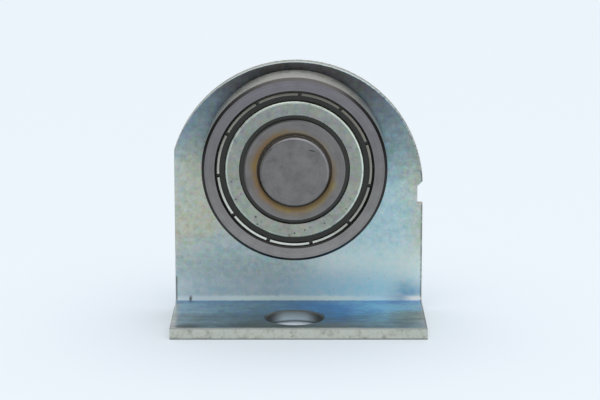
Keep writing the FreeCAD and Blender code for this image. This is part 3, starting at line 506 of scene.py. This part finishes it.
oil = add("Mix", {FACTOR: burnt, FROM: oil, TO: linear("#7a583a")}, data_type="RGBA")[MIXED]
tone = add("Mix", {FACTOR: stain, FROM: tone, TO: oil}, data_type="RGBA")[MIXED]

# The crust next to the pin is widest at the bottom. The step is dark, and at the upper left painted shadow
# reaches inwards from it
CRUST_RUN = (0.40, 0.0, -0.92)
crust_reach = add("VectorMath", {0: outward, 1: CRUST_RUN}, operation="DOT_PRODUCT")["Value"]
crust_reach = add("Math", {0: crust_reach, 1: 0.60 * MM, 2: PIN_RADIUS + 1.0 * MM},
                  operation="MULTIPLY_ADD")[0]
crust = add("MapRange", {"Value": radius, "From Min": crust_reach, "From Max": PIN_RADIUS + 0.4 * MM},
            interpolation_type="SMOOTHSTEP")[0]
# Painted light: the crust is lighter towards the top of the ring
crust_colour = add("ValToRGB", {"Fac": up_round_axle(add, at, radius)}, stops=[
    (0.30, linear("#5e4d36")), (0.75, linear("#8a837a"))])[0]
tone = add("Mix", {FACTOR: crust, FROM: tone, TO: crust_colour}, data_type="RGBA")[MIXED]
sunk = add("MapRange", {"Value": depth, "From Min": front + 0.10 * MM, "From Max": front + 0.20 * MM})[0]
on_step = add("MapRange", {"Value": radius, "From Min": STEP_RADIUS - 0.06 * MM, "From Max": STEP_RADIUS})[0]
greased = add("Math", {0: sunk, 1: on_step}, operation="MULTIPLY")[0]
# Painted shadow inside the step at the upper left, joined to the dark step
upper_left_shadow = add("MapRange", {"Value": radius, "From Min": STEP_RADIUS - 0.22 * MM,
                        "From Max": STEP_RADIUS - 0.10 * MM, "To Max": 0.9})[0]
upper_left_shadow_side = add("MapRange", {"Value": upper_left, "From Min": 0.30, "From Max": 0.65})[0]
upper_left_shadow = add("Math", {0: upper_left_shadow, 1: upper_left_shadow_side}, operation="MULTIPLY")[0]
greased = add("Math", {0: greased, 1: upper_left_shadow}, operation="MAXIMUM")[0]
tone = add("Mix", {FACTOR: greased, FROM: tone, TO: linear("#3e3d39")}, data_type="RGBA")[MIXED]
coated = add("Math", {0: crust, 1: greased}, operation="MAXIMUM")[0]
bare = add("MapRange", {"Value": coated, "To Min": 1.0, "To Max": 0.4})[0]
rough = add("MapRange", {"Value": haze, "From Min": 0.3, "From Max": 0.7, "To Min": 0.25, "To Max": 0.36})[0]
dents = add("Bump", {"Strength": 0.12, "Distance": 0.02 * MM, "Height": grind})[0]
shader = add("BsdfPrincipled", {"Base Color": tone, "Metallic": bare, "Roughness": rough, "Normal": dents})
add("OutputMaterial", {"Surface": shader[0]})
dress(inner_steel, "inner_ring")

# Balls
# Seven balls of hardened bearing steel, ground and lapped. They roll in the grooves of the two rings, kept
# apart by the cage and wetted with a little grease.
BALL_COUNT = 7
# Lapped steel: close to a mirror, with a thin grease film that makes its gloss a little uneven.
ball_steel, add = new_material("lapped_ball_steel")
at = add("TexCoord")["Object"]
grease = add("TexNoise", {"Vector": at, "Scale": 1 / (1.5 * MM), "Detail": 3.0})["Fac"]
tone = add("ValToRGB", {"Fac": grease}, stops=[(0.35, linear("#8f8f90")), (0.65, linear("#a9a9aa"))])[0]
rough = add("MapRange", {"Value": grease, "From Min": 0.35, "From Max": 0.65,
                         "To Min": 0.06, "To Max": 0.14})[0]
shader = add("BsdfPrincipled", {"Base Color": tone, "Metallic": 1.0, "Roughness": rough})
add("OutputMaterial", {"Surface": shader[0]})
dress(ball_steel, *[f"ball_{number}" for number in range(1, BALL_COUNT + 1)])

# Cage
# Two wavy rings pressed from thin steel strip, which clasp the balls from both sides. Seven small rivets
# through the flats between the pockets hold the halves together.

# Pressed strip under grease: a dull, brownish grey with a soft and uneven gloss.
cage_sheet, add = new_material("pressed_cage_strip_greased")
at = round_axle(add)[0]
drawn = add("TexNoise", {"Vector": at, "Scale": 1 / (0.8 * MM), "Detail": 3.0})["Fac"]
tone = add("ValToRGB", {"Fac": drawn}, stops=[(0.35, linear("#6d6a62")), (0.65, linear("#8d8a80"))])[0]
rough = add("MapRange", {"Value": drawn, "From Min": 0.3, "From Max": 0.7, "To Min": 0.28, "To Max": 0.42})[0]
shader = add("BsdfPrincipled", {"Base Color": tone, "Metallic": 1.0, "Roughness": rough})
add("OutputMaterial", {"Surface": shader[0]})
dress(cage_sheet, "cage_front", "cage_rear", "cage_rivets")

# Outer ring
# The roller's tread: a ring of hardened bearing steel, turned, then ground on its faces, its raceway and its
# outside. It turns on the balls and holds both shields.

# Ground bearing steel: hazy grey faces with faint rings and painted shade on their upper part, fine lines
# round the tread, and chamfers painted almost black as painted shade, a little lighter at the top and bottom.
outer_steel, add = new_material("ground_bearing_steel_tread")
at, radius, depth = round_axle(add)
upward = up_round_axle(add, at, radius)
facing = add("SeparateXYZ", {"Vector": add("TexCoord")["Normal"]})["Y"]
facing = add("Math", {0: facing}, operation="ABSOLUTE")[0]
# As on the inner ring, the marks of the grinding wheel are drawn coarser than they are.
grind = add("TexNoise", {"W": radius, "Scale": 1 / (0.35 * MM), "Detail": 1.0}, noise_dimensions="1D")["Fac"]
lay = add("TexNoise", {"W": depth, "Scale": 1 / (0.5 * MM), "Detail": 2.0}, noise_dimensions="1D")["Fac"]
haze = add("TexNoise", {"Vector": at, "Scale": 1 / (2.5 * MM), "Detail": 4.0, "Roughness": 0.6})["Fac"]
face = add("ValToRGB", {"Fac": haze}, stops=[
    (0.30, linear("#868281")), (0.55, linear("#918e8c")), (0.75, linear("#989693"))])[0]
face = add("Mix", {FACTOR: 0.12, FROM: face, TO: grind}, data_type="RGBA", blend_type="OVERLAY")[MIXED]
# Painted shade on the upper part of the faces
round_top_shade = add("ValToRGB", {"Fac": upward}, stops=[
    (0.05, linear("#ffffff")), (0.50, linear("#e4e6e7")), (0.95, linear("#e6e4ef"))])[0]
face = add("Mix", {FACTOR: 1.0, FROM: face, TO: round_top_shade}, data_type="RGBA", blend_type="MULTIPLY")[MIXED]
tread = add("ValToRGB", {"Fac": lay}, stops=[(0.35, linear("#979690")), (0.65, linear("#a7a69d"))])[0]
on_face = add("MapRange", {"Value": facing, "From Min": 0.3, "From Max": 0.6})[0]
tone = add("Mix", {FACTOR: on_face, FROM: tread, TO: face}, data_type="RGBA")[MIXED]
chamfer = add("MapRange", {"Value": facing, "From Min": 0.97, "From Max": 0.90})[0]
chamfer = add("Math", {0: on_face, 1: chamfer}, operation="MULTIPLY")[0]
# Painted shade: the chamfers are painted almost black, a little lighter at the top and bottom
chamfer_shade = add("ValToRGB", {"Fac": upward}, stops=[
    (0.05, linear("#454342")), (0.30, linear("#302e2e")), (0.85, linear("#363434")),
    (0.97, linear("#565453"))])[0]
tone = add("Mix", {FACTOR: chamfer, FROM: tone, TO: chamfer_shade}, data_type="RGBA")[MIXED]
rough = add("MapRange", {"Value": haze, "From Min": 0.3, "From Max": 0.7, "To Min": 0.25, "To Max": 0.36})[0]
dents = add("Bump", {"Strength": 0.12, "Distance": 0.02 * MM, "Height": grind})[0]
shader = add("BsdfPrincipled", {"Base Color": tone, "Metallic": 1.0, "Roughness": rough, "Normal": dents})
add("OutputMaterial", {"Surface": shader[0]})
dress(outer_steel, "outer_ring")

# Shields
# Two rings pressed from thin bright sheet. Their notched rims are rolled into a groove of the outer ring, and
# dark grease and dust sit in the channel behind each rim, deepened by painted shade.
SHOULDER_INSIDE, SHOULDER_OUTSIDE = 11.50 * MM, 12.40 * MM
RIM_INSIDE = 12.55 * MM
CHANNEL_LIP, CHANNEL_DEPTH = 0.40 * MM, 0.62 * MM
LOWER_LEFT = (-0.42, 0.0, -0.9)
outer_low, outer_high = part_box("outer_ring")
half_width = (outer_high.y - outer_low.y) / 2
# Bright pressed sheet: a pale grey with a touch of green, finely mottled, with dark pits that are largest at
# the lower left, slight painted shade towards the top, a painted highlight on the shoulder and a rim with
# painted light at the lower left.
shield_sheet, add = new_material("pressed_bright_sheet_with_dust_and_shade_in_the_channel")
at, radius, depth = round_axle(add)
outward = add("VectorMath", {0: at}, operation="NORMALIZE")[0]
lower_left = add("VectorMath", {0: outward, 1: LOWER_LEFT}, operation="DOT_PRODUCT")["Value"]
haze = add("TexNoise", {"Vector": at, "Scale": 1 / (1.4 * MM), "Detail": 5.0, "Roughness": 0.65})["Fac"]
drift = add("TexNoise", {"Vector": at, "Scale": 1 / (6 * MM), "Detail": 1.0})["Fac"]
tints = add("TexNoise", {"Vector": at, "Scale": 1 / (0.9 * MM), "Detail": 3.0, "Roughness": 0.7})["Color"]
tone = add("ValToRGB", {"Fac": haze}, stops=[
    (0.28, linear("#868a81")), (0.45, linear("#9ba097")), (0.60, linear("#a8aca1")),
    (0.80, linear("#babdb1"))])[0]
# Slight painted shade towards the top of the shield
round_top_shade = add("ValToRGB", {"Fac": up_round_axle(add, at, radius)}, stops=[
    (0.05, linear("#ffffff")), (0.50, linear("#f7f7f8")), (0.95, linear("#f2f5fa"))])[0]
tone = add("Mix", {FACTOR: 1.0, FROM: tone, TO: round_top_shade}, data_type="RGBA", blend_type="MULTIPLY")[MIXED]
tone = add("Mix", {FACTOR: 0.35, FROM: tone, TO: tints}, data_type="RGBA", blend_type="OVERLAY")[MIXED]
pits = add("TexVoronoi", {"Vector": at, "Scale": 1 / (0.9 * MM)})
pit_size = add("Math", {0: lower_left, 1: 0.22, 2: drift}, operation="MULTIPLY_ADD")[0]
pit_size = add("MapRange", {"Value": pit_size, "From Min": 0.45, "From Max": 0.7,
                            "To Min": 0.08, "To Max": 0.28})[0]
pit = add("Math", {0: pits["Distance"], 1: pit_size}, operation="DIVIDE")[0]
pit = add("MapRange", {"Value": pit, "From Min": 1.0, "From Max": 0.5})[0]
chosen = add("SeparateColor", {"Color": pits["Color"]})[0]
chosen = add("Math", {0: chosen, 1: 0.55}, operation="GREATER_THAN")[0]
pit = add("Math", {0: pit, 1: chosen}, operation="MULTIPLY")[0]
tone = add("Mix", {FACTOR: pit, FROM: tone, TO: linear("#4c4d4b")}, data_type="RGBA")[MIXED]
# Painted highlight along the shoulder, broken up, brightest away from the lower left
from_inside = add("MapRange", {"Value": radius, "From Min": SHOULDER_INSIDE,
                               "From Max": SHOULDER_INSIDE + 0.15 * MM})[0]
from_outside = add("MapRange", {"Value": radius, "From Min": SHOULDER_OUTSIDE,
                                "From Max": SHOULDER_OUTSIDE - 0.10 * MM})[0]
shoulder_highlight = add("Math", {0: from_inside, 1: from_outside}, operation="MULTIPLY")[0]
shoulder_highlight_breaks = add("MapRange", {"Value": haze, "From Min": 0.36, "From Max": 0.50, "To Min": 0.35})[0]
shoulder_highlight_side = add("MapRange", {"Value": lower_left, "From Min": 0.8, "From Max": -0.1, "To Min": 0.3})[0]
shoulder_highlight_breaks = add("Math", {0: shoulder_highlight_breaks, 1: shoulder_highlight_side}, operation="MULTIPLY")[0]
shoulder_highlight = add("Math", {0: shoulder_highlight, 1: shoulder_highlight_breaks}, operation="MULTIPLY")[0]
tone = add("Mix", {FACTOR: shoulder_highlight, FROM: tone, TO: linear("#d9e4d9")}, data_type="RGBA")[MIXED]
# Painted light: the rim is brighter towards the lower left
rim_light = add("Math", {0: haze, 1: 1.2, 2: lower_left}, operation="MULTIPLY_ADD")[0]
rim_light = add("MapRange", {"Value": rim_light, "From Min": -0.6, "From Max": 1.8})[0]
rim = add("ValToRGB", {"Fac": rim_light}, stops=[
    (0.15, linear("#7d7a72")), (0.55, linear("#a09e95")), (0.70, linear("#babbb1")),
    (0.90, linear("#e6e8de"))])[0]
on_rim = add("MapRange", {"Value": radius, "From Min": RIM_INSIDE, "From Max": RIM_INSIDE + 0.10 * MM})[0]
tone = add("Mix", {FACTOR: on_rim, FROM: tone, TO: rim}, data_type="RGBA")[MIXED]
# Grease and dust in the channel, with painted shade deepening it
sunk = add("Math", {0: depth}, operation="ABSOLUTE")[0]
sunk = add("Math", {0: half_width, 1: sunk}, operation="SUBTRACT")[0]
channel_dirt_and_shade = add("MapRange", {"Value": sunk, "From Min": CHANNEL_LIP, "From Max": CHANNEL_DEPTH})[0]
tone = add("Mix", {FACTOR: channel_dirt_and_shade, FROM: tone, TO: linear("#3f3f3c")}, data_type="RGBA")[MIXED]
rough = add("MapRange", {"Value": haze, "From Min": 0.3, "From Max": 0.7, "To Min": 0.26, "To Max": 0.40})[0]
dents = add("Bump", {"Strength": 0.2, "Distance": 0.03 * MM, "Height": haze})[0]
shader = add("BsdfPrincipled", {"Base Color": tone, "Metallic": 1.0, "Roughness": rough, "Normal": dents})
add("OutputMaterial", {"Surface": shader[0]})
dress(shield_sheet, "front_shield", "rear_shield")

# Floor
# A sheet of pale blue-white paper that the bracket stands on. It runs far past the view, so that its end
# doesn't show.
PAPER = linear("#eef6fd")
FLOOR_HALF = 20.0
SHADOW_MIDDLE = (0.0, 4 * MM, 0.0)
# Matt paper: an even tone without gloss. Away from the bracket it keeps its own colour where it is seen or
# mirrored, and near the bracket it is left to the light, so that the shadow shows. Painted shade darkens it
# at the rim of the bolt hole.
paper, add = new_material("pale_matt_paper")
at = add("TexCoord")["Object"]
path = add("LightPath")
seen = add("Math", {0: path["Is Camera Ray"], 1: path["Is Glossy Ray"]}, operation="MAXIMUM")[0]
seen = add("Math", {0: seen, 1: path["Is Transmission Ray"]}, operation="MAXIMUM")[0]
away = add("VectorMath", {0: at, 1: SHADOW_MIDDLE}, operation="SUBTRACT")[0]
away = add("VectorMath", {0: away}, operation="LENGTH")["Value"]
even = add("MapRange", {"Value": away, "From Min": 16 * MM, "From Max": 70 * MM,
                        "To Min": 0.05, "To Max": 0.9}, interpolation_type="SMOOTHSTEP")[0]
share = add("Math", {0: seen, 1: even}, operation="MULTIPLY")[0]
from_hole = add("VectorMath", {0: at}, operation="LENGTH")["Value"]
hole_rim = add("MapRange", {"Value": from_hole, "From Min": 3.0 * MM, "From Max": HOLE_RADIUS},
               interpolation_type="SMOOTHSTEP")[0]
under_rim = add("MapRange", {"Value": from_hole, "From Min": HOLE_RADIUS + 1 * MM,
                             "From Max": HOLE_RADIUS})[0]
shut_in = add("Math", {0: hole_rim, 1: under_rim}, operation="MULTIPLY")[0]
shaded = add("Mix", {FACTOR: shut_in, FROM: PAPER, TO: linear("#94a5b1")}, data_type="RGBA")[MIXED]
matt = add("BsdfDiffuse", {"Color": shaded})[0]
plain = add("Emission", {"Color": PAPER, "Strength": 1.0})[0]
add("OutputMaterial", {"Surface": add("MixShader", {0: share, 1: matt, 2: plain})[0]})
floor_mesh = bpy.data.meshes.new("floor")
floor_mesh.from_pydata([(-FLOOR_HALF, -FLOOR_HALF, 0), (FLOOR_HALF, -FLOOR_HALF, 0),
                        (FLOOR_HALF, FLOOR_HALF, 0), (-FLOOR_HALF, FLOOR_HALF, 0)], [], [(0, 1, 2, 3)])
floor = bpy.data.objects.new("floor", floor_mesh)
bpy.context.scene.collection.objects.link(floor)
floor_mesh.materials.append(paper)

# Light
# A pale room that is brightest overhead and behind, and dim on the side towards the camera. In it are a broad
# softbox overhead and a small card low at the right front, which lights the bend under the roller. The camera
# sees neither of them.
world = bpy.data.worlds.new("studio")
bpy.context.scene.world = world
world.use_nodes = True
add = node_adder(world.node_tree)
towards = add("SeparateXYZ", {"Vector": add("TexCoord")["Generated"]})
above = add("MapRange", {"Value": towards["Z"], "From Min": 0.20, "From Max": 0.60,
                         "To Min": 0.305, "To Max": 0.75}, interpolation_type="SMOOTHSTEP")[0]
behind = add("MapRange", {"Value": towards["Y"], "From Min": 0.0, "From Max": 0.9,
                          "To Min": 0.0, "To Max": 0.45}, interpolation_type="SMOOTHSTEP")[0]
level = add("Math", {0: above, 1: behind}, operation="ADD")[0]
add("OutputWorld", {"Surface": add("Background", {"Color": linear("#fbfdff"), "Strength": level})[0]})
for name, watts, width, depth, place, aim in [
        ("softbox", 0.48, 0.60, 0.25, (0.04, -0.10, 0.42), (0.0, 0.0, 0.02)),
        ("card", 0.09, 0.24, 0.12, (0.18, -0.24, 0.075), (0.006, 0.012, 0.006))]:
    lamp_data = bpy.data.lights.new(name, "AREA")
    lamp_data.energy = watts
    lamp_data.shape = "RECTANGLE"
    lamp_data.size = width
    lamp_data.size_y = depth
    lamp = bpy.data.objects.new(name, lamp_data)
    lamp.location = place
    lamp.rotation_euler = (Vector(aim) - lamp.location).to_track_quat("-Z", "Y").to_euler()
    lamp.visible_camera = False
    bpy.context.scene.collection.objects.link(lamp)

# Camera
# A long lens, square to the front of the roller and a little above it. Its place was fitted to the edges of
# the strip and the circles of the bearing.
ELEVATION = math.radians(11.59)
DISTANCE = 400 * MM
TARGET = Vector((0.944 * MM, 12.7 * MM, 20.18 * MM))
camera_data = bpy.data.cameras.new("camera")
camera_data.sensor_width = 36
camera_data.lens = 135.36
camera_data.clip_start = 10 * MM
camera = bpy.data.objects.new("camera", camera_data)
camera.location = TARGET + DISTANCE * Vector((0, -math.cos(ELEVATION), math.sin(ELEVATION)))
camera.rotation_euler = (TARGET - camera.location).to_track_quat("-Z", "Y").to_euler()
bpy.context.scene.collection.objects.link(camera)
bpy.context.scene.camera = camera
bpy.context.scene.view_settings.view_transform = "Standard"
